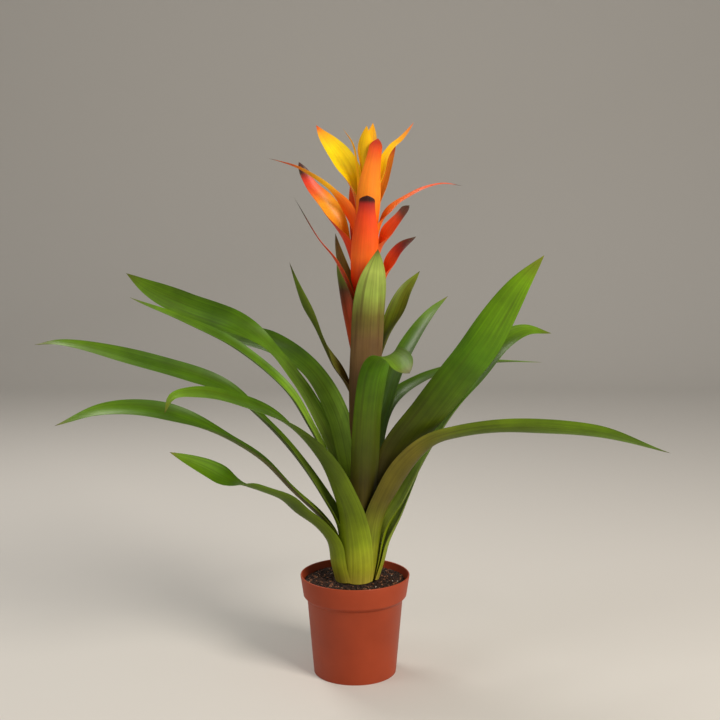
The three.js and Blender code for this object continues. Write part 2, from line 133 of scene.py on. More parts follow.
for name, place, size, power, colour in (
    ("soft_box_right", (1.25, -1.35, 1.45), 0.8, 43.0, "#fff6ea"),
    ("soft_box_left", (-1.3, -0.6, 1.6), 0.8, 6.0, "#f6f6f4"),
    ("soft_box_rear", (-0.7, 0.9, 1.6), 0.6, 11.0, "#fffaf4"),
):
    lamp = bpy.data.objects.new(name, bpy.data.lights.new(name, "AREA"))
    lamp.data.shape = "SQUARE"
    lamp.data.size = size
    lamp.data.energy = power
    lamp.data.color = linear(colour)[:3]
    lamp.location = place
    aim = np.array((0.0, 0.0, 0.3)) - np.array(place)
    lamp.rotation_euler = (
        np.arctan2(np.hypot(aim[0], aim[1]), -aim[2]), 0.0, np.arctan2(aim[1], aim[0]) - pi / 2)
    bpy.context.collection.objects.link(lamp)


# ---- Nursery pot ----------------------------------------------------------------------------
# A round 12 cm pot, injection-moulded in thin terracotta-coloured polypropylene: a tapered body,
# a taller rim band with a chamfered foot and a rolled lip, and a raised floor with drain holes.
# Three notches in the foot ring let the water out.

POT = {
    "height": 110.0, "rim": 60.0, "band_foot": 56.8, "band_low": 83.0, "chamfer": 5.0,
    "body_top": 52.5, "foot": 45.5, "wall": 1.6, "lip": 0.9, "floor": 5.0, "floor_wall": 1.8,
}
NOTCH_AZIMUTHS = (90, 210, 330)
NOTCH = {"width": 19.0, "height": 4.7}
DRAIN = {"count": 6, "radius": 5.0, "circle": 30.0}
POT_HEX = "#ac4624"
POT_WORN_HEX = "#b45a3a"
POT_DEEP_HEX = "#8e3416"


def millimetres(points):
    """Points given in millimetres, in metres."""
    return np.asarray(points, float) / 1000.0


def arc(centre, radius, first, last, steps):
    """Points of a round in a profile, from one angle to another in degrees."""
    return [(centre[0] + radius * cos(radians(a)), centre[1] + radius * sin(radians(a)))
            for a in np.linspace(first, last, steps + 1)]


def turned(name, profile, segments, finish):
    """A shape turned about Z from a profile whose first and last points lie on the axis."""
    ring = len(profile) - 2
    angles = np.linspace(0, 2 * pi, segments, endpoint=False)
    vertices = [(0.0, 0.0, profile[0][1]), (0.0, 0.0, profile[-1][1])]
    vertices += [(r * cos(a), r * sin(a), z) for a in angles for r, z in profile[1:-1]]
    faces = []
    for i in range(segments):
        here = 2 + i * ring
        there = 2 + (i + 1) % segments * ring
        faces.append((0, there, here))
        faces += [(here + k, there + k, there + k + 1, here + k + 1) for k in range(ring - 1)]
        faces.append((1, here + ring - 1, there + ring - 1))
    return mesh_object(name, millimetres(vertices), faces, finish)


def applied(made):
    """Replace an object's mesh by what its modifiers make of it."""
    evaluated = made.evaluated_get(bpy.context.evaluated_depsgraph_get())
    mesh = bpy.data.meshes.new_from_object(evaluated)
    made.modifiers.clear()
    made.data = mesh


def piece(made, slot, *nodes):
    """Hand a finished piece over: it rides on the one body and stands for its CAD nodes."""
    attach(made, "root")
    if nodes:
        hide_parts(*nodes)


# Polypropylene from a matt mould: an even, slightly waxy skin that is a little paler where the
# rim and the shoulder have been rubbed, with fine mould texture.
polypropylene = material("moulded polypropylene, terracotta")
tree = polypropylene.node_tree
place = add(tree, "ShaderNodeTexCoord").outputs["Object"]
cloud = add(tree, "ShaderNodeTexNoise", {"Vector": place, "Scale": 28.0, "Detail": 3.0})
body = add(tree, "ShaderNodeMix", {
    0: cloud.outputs["Fac"], "A": linear(POT_DEEP_HEX), "B": linear(POT_HEX)}, data_type="RGBA")
edge = add(tree, "ShaderNodeNewGeometry").outputs["Pointiness"]
rubbed = add(tree, "ShaderNodeMapRange", {
    "Value": edge, "From Min": 0.52, "From Max": 0.62, "To Max": 0.6})
skin = add(tree, "ShaderNodeMix", {
    0: rubbed.outputs["Result"], "A": body.outputs["Result"], "B": linear(POT_WORN_HEX)},
    data_type="RGBA")
grain = add(tree, "ShaderNodeTexNoise", {"Vector": place, "Scale": 1400.0, "Detail": 1.0})
mould_bump = add(tree, "ShaderNodeBump", {
    "Height": grain.outputs["Fac"], "Strength": 0.12, "Distance": 0.0002})
shine = add(tree, "ShaderNodeMapRange", {
    "Value": cloud.outputs["Fac"], "To Min": 0.42, "To Max": 0.54})
finished(tree, add(tree, "ShaderNodeBsdfPrincipled", {
    "Base Color": skin.outputs["Result"], "Roughness": shine.outputs["Result"], "IOR": 1.49,
    "Specular IOR Level": 0.28, "Normal": mould_bump.outputs["Normal"]}))


def body_radius(height):
    """Radius of the outside of the pot's body at a height."""
    return POT["foot"] + (POT["body_top"] - POT["foot"]) * height / POT["band_low"]


floor_top = POT["floor"] + POT["floor_wall"]
shoulder = POT["band_low"] + POT["chamfer"]
lip_height = POT["height"] - POT["lip"]
pot = turned("pot_moulded", [
    (0.0, POT["floor"]),
    (body_radius(POT["floor"]) - POT["wall"] - 1.0, POT["floor"]),
    *arc((body_radius(4.0) - POT["wall"] - 1.0, 4.0), 1.0, 90, 0, 4),
    (POT["foot"] - POT["wall"] + 0.1, 0.3),
    *arc((POT["foot"] - 1.1, 0.4), 0.4, 250, 270, 1),
    *arc((POT["foot"] - 0.5, 0.5), 0.5, 270, 355, 4),
    (body_radius(POT["band_low"] - 0.8), POT["band_low"] - 0.8),
    *arc((POT["body_top"] + 0.9, POT["band_low"] - 0.7), 0.9, 180, 110, 4),
    *arc((POT["band_foot"] - 1.2, shoulder - 0.3), 1.2, -40, 0, 4),
    *arc((POT["rim"] - POT["lip"], lip_height), POT["lip"], 0, 180, 8),
    (POT["band_foot"] - POT["wall"], shoulder + 1.0),
    (POT["body_top"] - POT["wall"], POT["band_low"] + 0.8),
    (body_radius(floor_top) - POT["wall"], floor_top),
    (0.0, floor_top),
], 160, polypropylene)

cutters = []
for azimuth in NOTCH_AZIMUTHS:
    turn = np.array(((cos(radians(azimuth)), -sin(radians(azimuth))),
                     (sin(radians(azimuth)), cos(radians(azimuth)))))
    half = NOTCH["width"] / 2
    corners = [(*(turn @ (x, y)), z) for x in (40.0, 50.0)
               for y, z in ((-half - 0.8, -1.0), (half + 0.8, -1.0),
                            (half, NOTCH["height"]), (-half, NOTCH["height"]))]
    cutters.append((corners, [(0, 1, 2, 3), (7, 6, 5, 4), (0, 4, 5, 1), (1, 5, 6, 2),
                              (2, 6, 7, 3), (3, 7, 4, 0)]))
for i in range(DRAIN["count"]):
    middle = 2 * pi * i / DRAIN["count"]
    ring = [(DRAIN["circle"] * cos(middle) + DRAIN["radius"] * cos(a),
             DRAIN["circle"] * sin(middle) + DRAIN["radius"] * sin(a))
            for a in np.linspace(0, 2 * pi, 28, endpoint=False)]
    corners = [(x, y, z) for z in (3.0, 9.0) for x, y in ring]
    sides = [(k, (k + 1) % 28, 28 + (k + 1) % 28, 28 + k) for k in range(28)]
    cutters.append((corners, [tuple(range(27, -1, -1)), tuple(range(28, 56)), *sides]))
for corners, faces in cutters:
    cutter = mesh_object("cutter", millimetres(corners), faces, polypropylene)
    cut = pot.modifiers.new("cut", "BOOLEAN")
    cut.operation = "DIFFERENCE"
    cut.solver = "EXACT"
    cut.object = cutter
    applied(pot)
    bpy.data.objects.remove(cutter)
pot.data.set_sharp_from_angle(angle=radians(38))
piece(pot, "pot", "pot")


# ---- Potting mix ----------------------------------------------------------------------------
# Peat with chips of composted bark and a little perlite, pressed in by hand to just under the
# rim. It is crumbly, nearly black where it is damp and brown where it has dried.

MIX = {"foot": 7.1, "top": 104.0, "edge": 102.8, "radius": 54.9, "low_radius": 50.6}
MIX_DAMP_HEX = "#120b07"
MIX_DRY_HEX = "#4a2a1a"
BARK_HEX = "#4a2a1a"
BARK_PALE_HEX = "#9a6544"
PERLITE_HEX = "#d9d4c8"

peat = material("peat and composted bark, damp")
tree = peat.node_tree
place = add(tree, "ShaderNodeTexCoord").outputs["Object"]
clod = add(tree, "ShaderNodeTexNoise", {"Vector": place, "Scale": 420.0, "Detail": 6.0})
tone = add(tree, "ShaderNodeMapRange", {
    "Value": clod.outputs["Fac"], "From Min": 0.42, "From Max": 0.68})
soil = add(tree, "ShaderNodeMix", {
    0: tone.outputs["Result"], "A": linear(MIX_DAMP_HEX), "B": linear(MIX_DRY_HEX)},
    data_type="RGBA")
rough = add(tree, "ShaderNodeBump", {
    "Height": clod.outputs["Fac"], "Strength": 0.9, "Distance": 0.0012})
finished(tree, add(tree, "ShaderNodeBsdfPrincipled", {
    "Base Color": soil.outputs["Result"], "Roughness": 0.93, "Normal": rough.outputs["Normal"]}))

rings = 36
ground = turned("potting_mix_bed", [
    (0.0, MIX["foot"]),
    (body_radius(MIX["foot"]) - POT["wall"] - 0.4, MIX["foot"]),
    (POT["body_top"] - POT["wall"] - 0.4, POT["band_low"] + 0.8),
    (MIX["radius"] - 0.4, shoulder + 1.4),
    *[(MIX["radius"] * cos(a), MIX["edge"] + (MIX["top"] - MIX["edge"]) * sin(a))
      for a in np.linspace(0, pi / 2, rings)[:-1]],
    (0.0, MIX["top"]),
], 120, peat)
places = np.empty(3 * len(ground.data.vertices))
ground.data.vertices.foreach_get("co", places)
places = places.reshape(-1, 3)
lumps = sum(np.sin(places @ np.array(wave) + phase) for wave, phase in (
    ((310.0, 120.0, 0.0), 0.4), ((-150.0, 330.0, 0.0), 1.9), ((520.0, -410.0, 0.0), 3.1),
    ((640.0, 700.0, 0.0), 5.0)))
on_top = places[:, 2] > 0.1
places[on_top, 2] += 0.00022 * lumps[on_top] - 0.0007
ground.data.vertices.foreach_set("co", places.ravel())
piece(ground, "potting_mix", "potting_mix")


# ---- Crumbs, bark chips and perlite ----------------------------------------------------------
# The loose top of the potting mix: peat crumbs about 1 to 2 mm across, flat bark chips of 3 to
# 7 mm and a few white perlite grains, all lying on the bed between the plant and the pot.

bark = material("composted bark, weathered")
tree = bark.node_tree
place = add(tree, "ShaderNodeTexCoord").outputs["Object"]
fibre = add(tree, "ShaderNodeTexNoise", {"Vector": place, "Scale": 260.0, "Detail": 4.0})
tone = add(tree, "ShaderNodeMapRange", {
    "Value": fibre.outputs["Fac"], "From Min": 0.35, "From Max": 0.65})
chip = add(tree, "ShaderNodeMix", {
    0: tone.outputs["Result"], "A": linear(BARK_HEX), "B": linear(BARK_PALE_HEX)},
    data_type="RGBA")
finished(tree, add(tree, "ShaderNodeBsdfPrincipled", {
    "Base Color": chip.outputs["Result"], "Roughness": 0.85}))

# Perlite is blown volcanic glass: chalky white grains, slightly dirty.
perlite = material("expanded perlite")
tree = perlite.node_tree
place = add(tree, "ShaderNodeTexCoord").outputs["Object"]
dirt = add(tree, "ShaderNodeTexNoise", {"Vector": place, "Scale": 600.0})
white = add(tree, "ShaderNodeMix", {
    0: dirt.outputs["Fac"], "A": linear("#8f8474"), "B": linear(PERLITE_HEX)}, data_type="RGBA")
finished(tree, add(tree, "ShaderNodeBsdfPrincipled", {
    "Base Color": white.outputs["Result"], "Roughness": 0.9}))


def scatter_tree(name, finish):
    """A node tree that strews small flattened grains over a surface."""
    tree = bpy.data.node_groups.new(name, "GeometryNodeTree")
    for socket, kind in (
        ("Geometry", "NodeSocketGeometry"), ("Density", "NodeSocketFloat"),
        ("Smallest", "NodeSocketVector"), ("Largest", "NodeSocketVector"),
        ("Ruggedness", "NodeSocketFloat"), ("Seed", "NodeSocketInt"),
    ):
        tree.interface.new_socket(socket, in_out="INPUT", socket_type=kind)
    tree.interface.new_socket("Geometry", in_out="OUTPUT", socket_type="NodeSocketGeometry")
    given = add(tree, "NodeGroupInput").outputs
    points = add(tree, "GeometryNodeDistributePointsOnFaces", {
        "Mesh": given["Geometry"], "Density": given["Density"], "Seed": given["Seed"]})
    grain = add(tree, "GeometryNodeMeshIcoSphere", {"Radius": 1.0, "Subdivisions": 1})
    turn = add(tree, "FunctionNodeRandomValue", {
        "Max": (0.7, 0.7, 2 * pi), "Seed": given["Seed"]}, data_type="FLOAT_VECTOR")
    size = add(tree, "FunctionNodeRandomValue", {
        "Min": given["Smallest"], "Max": given["Largest"], "Seed": given["Seed"]},
        data_type="FLOAT_VECTOR")
    strewn = add(tree, "GeometryNodeInstanceOnPoints", {
        "Points": points.outputs["Points"], "Instance": grain.outputs["Mesh"],
        "Rotation": turn.outputs["Value"], "Scale": size.outputs["Value"]})
    real = add(tree, "GeometryNodeRealizeInstances", {"Geometry": strewn.outputs["Instances"]})
    chip_noise = add(tree, "ShaderNodeTexNoise", {"Scale": 700.0, "Detail": 1.0})
    centred = add(tree, "ShaderNodeVectorMath", {
        0: chip_noise.outputs["Color"], 1: (0.5, 0.5, 0.5)}, operation="SUBTRACT")
    push = add(tree, "ShaderNodeVectorMath", {
        0: centred.outputs["Vector"], "Scale": given["Ruggedness"]}, operation="SCALE")
    rugged = add(tree, "GeometryNodeSetPosition", {
        "Geometry": real.outputs["Geometry"], "Offset": push.outputs["Vector"]})
    coated = add(tree, "GeometryNodeSetMaterial", {
        "Geometry": rugged.outputs["Geometry"], "Material": finish})
    add(tree, "NodeGroupOutput", {"Geometry": coated.outputs["Geometry"]})
    return tree


def strewn(name, finish, inner, outer, **values):
    """Grains strewn over a ring of the bed, as one plain mesh."""
    steps = 48
    angles = np.linspace(0, 2 * pi, steps, endpoint=False)
    circles = [[(r * cos(a), r * sin(a), z) for a in angles]
               for r, z in ((inner, MIX["top"] - 0.5), ((inner + outer) / 2, MIX["top"] - 0.6),
                            (outer, MIX["edge"] - 0.3))]
    faces = [(c * steps + i, c * steps + (i + 1) % steps,
              (c + 1) * steps + (i + 1) % steps, (c + 1) * steps + i)
             for c in range(2) for i in range(steps)]
    faces = [face[::-1] for face in faces]
    made = mesh_object(name, millimetres(sum(circles, [])), faces, finish)
    grains = made.modifiers.new("grains", "NODES")
    grains.node_group = scatter_tree(name, finish)
    for item in grains.node_group.interface.items_tree:
        if item.in_out == "INPUT" and item.name in values:
            grains[item.identifier] = values[item.name]
    applied(made)
    piece(made, "potting_mix")


strewn("peat_crumbs", peat, 24.0, 55.0, Density=300000.0, Seed=3, Ruggedness=0.0012,
       Smallest=(0.0004, 0.0004, 0.0003), Largest=(0.0018, 0.0014, 0.0012))
strewn("bark_chips", bark, 27.0, 54.0, Density=24000.0, Seed=11, Ruggedness=0.0012,
       Smallest=(0.0008, 0.0006, 0.0004), Largest=(0.0036, 0.0018, 0.0011))
strewn("perlite_grains", perlite, 28.0, 54.0, Density=2600.0, Seed=8, Ruggedness=0.0005,
       Smallest=(0.0006, 0.0006, 0.0005), Largest=(0.0012, 0.0011, 0.0010))


# ---- Rosette leaves --------------------------------------------------------------------------
# Strap-shaped living leaves, about 1 mm thick, smooth and waxy. Each grows from a broad pale
# sheath that wraps the plant's axis in a layer of its own, and arches over under its own weight.

AXIS = {"foot": 2.0, "slope": 0.028, "from": 104.0}  # the plant leans a little to the right
NEST = {"inner": 8.0, "pitch": 2.28, "outer_layer": 8, "swell": 0.25, "swell_rise": 20.0}
LEAF_FOOT = 104.3
LEAF_TURN = (30, 110)
LEAF_RUN = (30, 110)
LEAF_THICKNESS = 0.8
LEAF_RIPPLE = (0.35, 85.0)  # height and length of the waves along its margins
SHOULDER = 0.7  # share of its length at which a blade starts to narrow

# Colours from the foot to the tip, as (share of length, sRGB), of a leaf's two faces, and of
# the older leaves, flushed with brown towards the foot. On five leaves the inner faces are
# painted paler from near the foot to about half their length: painted light that lifts the
# shade the leaves around them cast there.
LEAF_UPPER = ((0.0, "#b2a83a"), (0.05, "#a4a826"), (0.14, "#6a7c0c"), (0.4, "#3e5c01"),
              (0.75, "#416401"), (0.95, "#5c8008"), (0.99, "#6a6c20"), (1.0, "#3c2e18"))
LEAF_PAINTED_LIGHT = ((0.0, "#9a9430"), (0.06, "#a4a82c"), (0.2, "#9ab030"), (0.42, "#83a832"),
              (0.58, "#58800c"), (0.75, "#416401"), (0.95, "#5c8008"), (1.0, "#5c6018"))
LEAF_LOWER = ((0.0, "#b4a63c"), (0.05, "#a0a426"), (0.12, "#7c8c12"), (0.22, "#627408"),
              (0.4, "#50640a"), (0.7, "#577802"), (0.95, "#688e0a"), (0.99, "#6e6e22"),
              (1.0, "#3c2e18"))
LEAF_FLUSHED = ((0.0, "#b4a63c"), (0.05, "#94981e"), (0.12, "#667010"), (0.22, "#5a5210"),
                (0.36, "#5e5612"), (0.5, "#566a06"), (0.95, "#688e0a"), (1.0, "#5c6018"))
# The two front leaves: dark near the foot, partly their own olive-brown and partly painted shade;
# bright green near the tip, partly their own green and partly painted light.
LEAF_DARK_SHADED_FOOT = ((0.0, "#9a9034"), (0.06, "#8e8222"), (0.14, "#4a3e06"), (0.32, "#3a3402"),
                  (0.5, "#465802"), (0.7, "#4a7402"), (0.92, "#6a9404"), (1.0, "#7a8020"))

# Azimuths of the foot and the tip, layer, width, wrap in radians, channel radius, twist as
# (share of length, degrees), and the midrib as (reach, height), all in millimetres and degrees.
# A few blades are 1 to 2 mm narrower than in the CAD model, to keep clear of their neighbours.
ROSETTE_LEAVES = {
    "leaf_front_left_low": {
        "azimuth": (210, 212), "layer": 8, "width": 26, "wrap": 0.9, "channel": 20,
        "twist": ((0.4, 20), (0.62, 10), (0.8, -60), (1, -60)),
        "midrib": ((35, 148), (50, 168), (73, 187), (92, 204), (119, 217), (157, 233),
                   (184, 249), (222, 269))},
    "leaf_right_outer": {
        "azimuth": (14, 52), "layer": 8, "width": 30, "wrap": 0.85, "channel": 24,
        "upper": LEAF_PAINTED_LIGHT,
        "midrib": ((35, 145), (49, 174), (66, 205), (114, 254), (148, 285), (190, 312))},
    "leaf_front_left_hooked": {
        "azimuth": (270, 222), "turn": (10, 85), "layer": 7, "width": 28, "wrap": 0.9,
        "channel": 22, "twist": ((0.4, 0), (0.7, -30), (1, -30)),
        "midrib": ((30, 162), (41, 196), (62, 245), (106, 290), (168, 318), (215, 331),
                   (241, 330), (249, 315))},
    "leaf_right_rear": {
        "azimuth": (17, 15), "layer": 7, "width": 34, "wrap": 0.8, "channel": 24,
        "upper": LEAF_PAINTED_LIGHT,
        "twist": ((0.5, 0), (0.8, 40)),
        "midrib": ((32, 158), (50, 189), (80, 247), (124, 315), (157, 358), (187, 374),
                   (219, 370))},
    "leaf_right_long": {
        "azimuth": (322, 354), "layer": 6, "width": 30, "wrap": 0.9, "channel": 24,
        "shoulder": 0.8, "twist": ((0.4, -35), (0.7, -42), (1, -20)), "lower": LEAF_FLUSHED,
        "midrib": ((27, 174), (38, 203), (55, 235), (77, 258), (107, 267), (165, 274),
                   (255, 269), (330, 251))},
    "leaf_left_lower": {
        "azimuth": (188, 190), "layer": 6, "width": 28, "wrap": 0.75, "channel": 22,
        "lower": LEAF_FLUSHED,
        "twist": ((0.5, 0), (0.72, -35), (1, -30)),
        "midrib": ((25, 148), (40, 171), (74, 205), (111, 243), (167, 277), (215, 295),
                   (276, 299), (323, 284))},
    "leaf_rear_low": {
        "azimuth": (85, 88), "layer": 6, "width": 30, "wrap": 0.85, "channel": 24,
        "midrib": ((26, 150), (42, 185), (72, 215), (110, 235), (145, 240), (172, 232))},
    "leaf_front_short": {
        "azimuth": (286, 287), "layer": 5, "width": 34, "wrap": 0.48, "channel": 24,
        "tail": (0.93, 0.7), "twist": ((0.6, 0), (1, 30)), "lower": LEAF_DARK_SHADED_FOOT,
        "midrib": ((19, 170), (22, 214), (25, 263), (31, 300), (46, 335), (74, 357),
                   (110, 361), (150, 350))},
    "leaf_left_middle": {
        "azimuth": (170, 185), "layer": 5, "width": 28, "wrap": 0.85, "channel": 22,
        "twist": ((0.4, 0), (0.65, -35), (1, -30)),
        "midrib": ((23, 163), (40, 194), (68, 236), (104, 279), (147, 316), (227, 344),
                   (320, 368), (347, 366))},
    "leaf_rear_middle": {
        "azimuth": (70, 84), "layer": 5, "width": 30, "wrap": 0.65, "channel": 24,
        "midrib": ((22, 165), (32, 215), (54, 258), (90, 292), (130, 306), (168, 302))},
    "leaf_left_upper": {
        "azimuth": (172, 180), "layer": 4, "width": 22.5, "wrap": 0.7, "channel": 14,
        "upper": LEAF_PAINTED_LIGHT,
        "twist": ((0.3, 0), (0.6, -15), (1, -20)),
        "midrib": ((17, 170), (28, 208), (45, 250), (59, 276), (84, 315), (138, 360),
                   (192, 388), (252, 414))},
    "leaf_right_tall": {
        "azimuth": (350, 333), "layer": 4, "width": 42, "wrap": 0.65, "channel": 30,
        "upper": LEAF_DARK_SHADED_FOOT, "lower": LEAF_DARK_SHADED_FOOT,
        "twist": ((0.35, -62), (0.7, -70), (1, -60)),
        "midrib": ((17, 170), (31, 210), (43, 247), (76, 292), (107, 331), (133, 366),
                   (173, 431), (197, 461))},
    "leaf_rear_right_long": {
        "azimuth": (57, 32), "layer": 4, "width": 26, "wrap": 0.42, "channel": 22,
        "midrib": ((16, 175), (21, 212), (31, 250), (51, 292), (87, 318), (145, 331),
                   (197, 332), (255, 328))},
    "leaf_left_broad": {
        "azimuth": (140, 161), "layer": 3, "width": 29, "wrap": 0.65, "channel": 28,
        "upper": LEAF_PAINTED_LIGHT,
        "shoulder": 0.82, "twist": ((0.55, 0), (0.75, -75), (1, -80)),
        "midrib": ((14, 170), (20, 208), (44, 254), (68, 296), (84, 322), (107, 352),
                   (150, 381), (212, 401), (262, 420), (291, 436))},
    "leaf_rear_right_erect": {
        "azimuth": (46, 52), "layer": 3, "width": 26, "wrap": 0.5, "channel": 22,
        "midrib": ((14, 180), (20, 234), (37, 287), (61, 335), (95, 366), (130, 393),
                   (161, 408))},
    "leaf_left_twisted": {
        "azimuth": (124, 141), "layer": 2, "width": 26, "wrap": 0.7, "channel": 26,
        "upper": LEAF_PAINTED_LIGHT,
        "twist": ((0.22, 0), (0.34, -40), (0.52, -20), (0.75, -65), (1, -60)),
        "midrib": ((11, 170), (14, 205), (24, 239), (46, 282), (80, 327), (133, 356),
                   (196, 363), (268, 374))},
    "leaf_rear_erect": {
        "azimuth": (86, 94), "layer": 1, "width": 24, "wrap": 0.8, "channel": 20,
        "midrib": ((8, 170), (9, 215), (18, 262), (44, 318), (88, 362), (146, 384))},
}


def axis_x(height):
    """Place of the plant's leaning axis at a height."""
    return AXIS["foot"] + AXIS["slope"] * (height - AXIS["from"])


def eased(value, low, high):
    """0 below low, 1 above high, and a smooth step between."""
    share = np.clip((value - low) / (high - low), 0, 1)
    return share * share * (3 - 2 * share)


def placed(reach, azimuth, height):
    """The point at a reach from the axis, at an azimuth and a height."""
    return (axis_x(height) + reach * cos(radians(azimuth)), reach * sin(radians(azimuth)), height)


def midrib_points(spec):
    """The midrib's points; on its way out a leaf turns to the azimuth of its tip."""
    first, last = spec["azimuth"]
    turn = spec.get("turn", LEAF_TURN)
    return [placed(r, first + (last - first) * eased(r, *turn), z) for r, z in spec["midrib"]]


def rosette_points(spec):
    """A rosette leaf stands on the mix in its layer, and the nest of sheaths swells above it."""
    radius = NEST["inner"] + NEST["pitch"] * (spec["layer"] - 1)
    swollen = radius * (1 + NEST["swell"] * (spec["layer"] / NEST["outer_layer"]) ** 2)
    azimuth = spec["azimuth"][0]
    return [placed(radius, azimuth, LEAF_FOOT),
            placed(swollen, azimuth, LEAF_FOOT + NEST["swell_rise"]), *midrib_points(spec)]


def smooth_path(points, steps=24):
    """A dense centripetal Catmull-Rom curve through points, with its lengths from the start."""
    given = np.array(points, float)
    ends = np.vstack([2 * given[0] - given[1], given, 2 * given[-1] - given[-2]])
    t = np.linspace(0, 1, steps, endpoint=False)[:, None]
    dense = []
    for a, b, c, d in zip(ends, ends[1:], ends[2:], ends[3:]):
        ab, bc, cd = (np.linalg.norm(q - p) ** 0.5 for p, q in ((a, b), (b, c), (c, d)))
        start = bc * ((b - a) / ab - (c - a) / (ab + bc) + (c - b) / bc)
        stop = bc * ((c - b) / bc - (d - b) / (bc + cd) + (d - c) / cd)
        dense.append(b + start * t + (3 * (c - b) - 2 * start - stop) * t ** 2
                     + (2 * (b - c) + start + stop) * t ** 3)
    curve = np.vstack([*dense, given[-1:]])
    lengths = np.append(0, np.cumsum(np.linalg.norm(np.diff(curve, axis=0), axis=1)))
    return curve, lengths


def twist_at(share, twist):
    """Twist in degrees, eased from one (share, degrees) to the next."""
    turned = np.zeros_like(share)
    before_share, before = 0.0, 0.0
    for next_share, after in twist:
        here = (share >= before_share) & (share <= next_share)
        turned[here] = before + (after - before) * eased(share[here], before_share, next_share)
        before_share, before = next_share, after
    turned[share > before_share] = before
    return turned


def gradient(share, stops):
    """Linear colours at shares of the length, between (share, sRGB) stops."""
    at = [stop[0] for stop in stops]
    colours = np.array([linear(stop[1]) for stop in stops])
    return np.stack([np.interp(share, at, colours[:, i]) for i in range(4)], axis=-1)


def taper(share, shoulder, tail=None):
    """Width along a blade: parallel, drawn in to a tail if it has one, then to a point."""
    start, size = tail or (shoulder, 1.0)
    drawn_in = 1 - (1 - size) * eased(share, shoulder, start) if tail else np.ones_like(share)
    left = np.clip((share - start) / (1 - start), 0, 1)
    return drawn_in * (1 - left ** 2)


def blade(name, points, spec, run, thickness, colours, finish, waves, rings=84):
    """One leaf or bract as a closed thin shell.

    Its section is an arc: round the plant's axis at the foot, a shallow channel further out.
    The attribute strip holds the place across from -1 to 1, the metres along, and 1 on the
    upper face; the attribute tint holds the face's colour.
    """
    across = 16
    curve, lengths = smooth_path(points)
    length = lengths[-1]
    share = np.linspace(0, 1, rings, endpoint=False)
    centre = np.stack([np.interp(share * length, lengths, curve[:, i]) for i in range(3)], -1)
    ahead = np.stack([np.interp(np.minimum(share + 0.004, 1) * length, lengths, curve[:, i])
                      for i in range(3)], -1)
    behind = np.stack([np.interp(np.maximum(share - 0.004, 0) * length, lengths, curve[:, i])
                       for i in range(3)], -1)
    along = ahead - behind
    along /= np.linalg.norm(along, axis=1, keepdims=True)
    out = np.stack([centre[:, 0] - axis_x(centre[:, 2]), centre[:, 1]], -1)
    reach = np.linalg.norm(out, axis=1)
    side = np.stack([-out[:, 1], out[:, 0], np.zeros(rings)], -1) / reach[:, None]
    side -= along * np.sum(side * along, axis=1, keepdims=True)
    side /= np.linalg.norm(side, axis=1, keepdims=True)
    inward = np.cross(along, side)
    free = eased(share * length, *run)
    turn = (np.radians(twist_at(share, spec.get("twist", ()))) * free)[:, None]
    side, inward = (side * np.cos(turn) + inward * np.sin(turn),
                    inward * np.cos(turn) - side * np.sin(turn))
    radius = np.minimum(reach, spec["channel"])
    narrowing = taper(share, spec.get("shoulder", SHOULDER), spec.get("tail"))
    half = (spec["wrap"] * radius * (1 - free) + spec["width"] / 2 * free) * narrowing
    s = np.linspace(-1, 1, across + 1)
    angle = (half / radius)[:, None] * s
    thin = thickness * (0.32 + 0.68 * (1 - np.abs(s) ** 2.5)) * np.sqrt(narrowing)[:, None]
    ripple_size, ripple_length, phase = waves
    beat = 2 * pi * share[:, None] * length / ripple_length + phase + 1.3 * (s > 0)
    ripple = ripple_size * np.abs(s) ** 2 * np.sin(beat) * (free * np.sqrt(narrowing))[:, None]

    def layer(offset):
        depth = radius[:, None] - offset - ripple
        return (centre[:, None] + side[:, None] * (depth * np.sin(angle))[..., None]
                + inward[:, None] * (radius[:, None] - depth * np.cos(angle))[..., None])

    shell = np.concatenate([layer(thin / 2), layer(-thin / 2)[:, ::-1]], axis=1)
    ring = 2 * across + 2
    vertices = np.vstack([shell.reshape(-1, 3), curve[-1:]])
    faces = [(i * ring + k, (i + 1) * ring + k, (i + 1) * ring + (k + 1) % ring,
              i * ring + (k + 1) % ring) for i in range(rings - 1) for k in range(ring)]
    faces += [(k, k + 1, ring - 2 - k, ring - 1 - k) for k in range(across)]
    last = (rings - 1) * ring
    faces += [(last + k, len(vertices) - 1, last + (k + 1) % ring) for k in range(ring)]
    made = mesh_object(name, millimetres(vertices), faces, finish)

    places = np.concatenate([s, s[::-1]])
    upper = np.concatenate([np.ones(across + 1), np.zeros(across + 1)])
    strip = np.stack(np.broadcast_arrays(
        places[None, :], (share * length / 1000)[:, None], upper[None, :]), -1).reshape(-1, 3)
    strip = np.vstack([strip, [(0.0, length / 1000, 0.5)]])
    faces_colours = [gradient(share, stops)[:, None].repeat(across + 1, axis=1)
                     for stops in colours]
    tint = np.concatenate(faces_colours, axis=1).reshape(-1, 4)
    tint = np.vstack([tint, gradient(np.array([1.0]), colours[0])])
    made.data.attributes.new("strip", "FLOAT_VECTOR", "POINT").data.foreach_set(
        "vector", strip.ravel())
    made.data.attributes.new("tint", "FLOAT_COLOR", "POINT").data.foreach_set(
        "color", tint.ravel())
    made.data.set_sharp_from_angle(angle=radians(50))
    return made


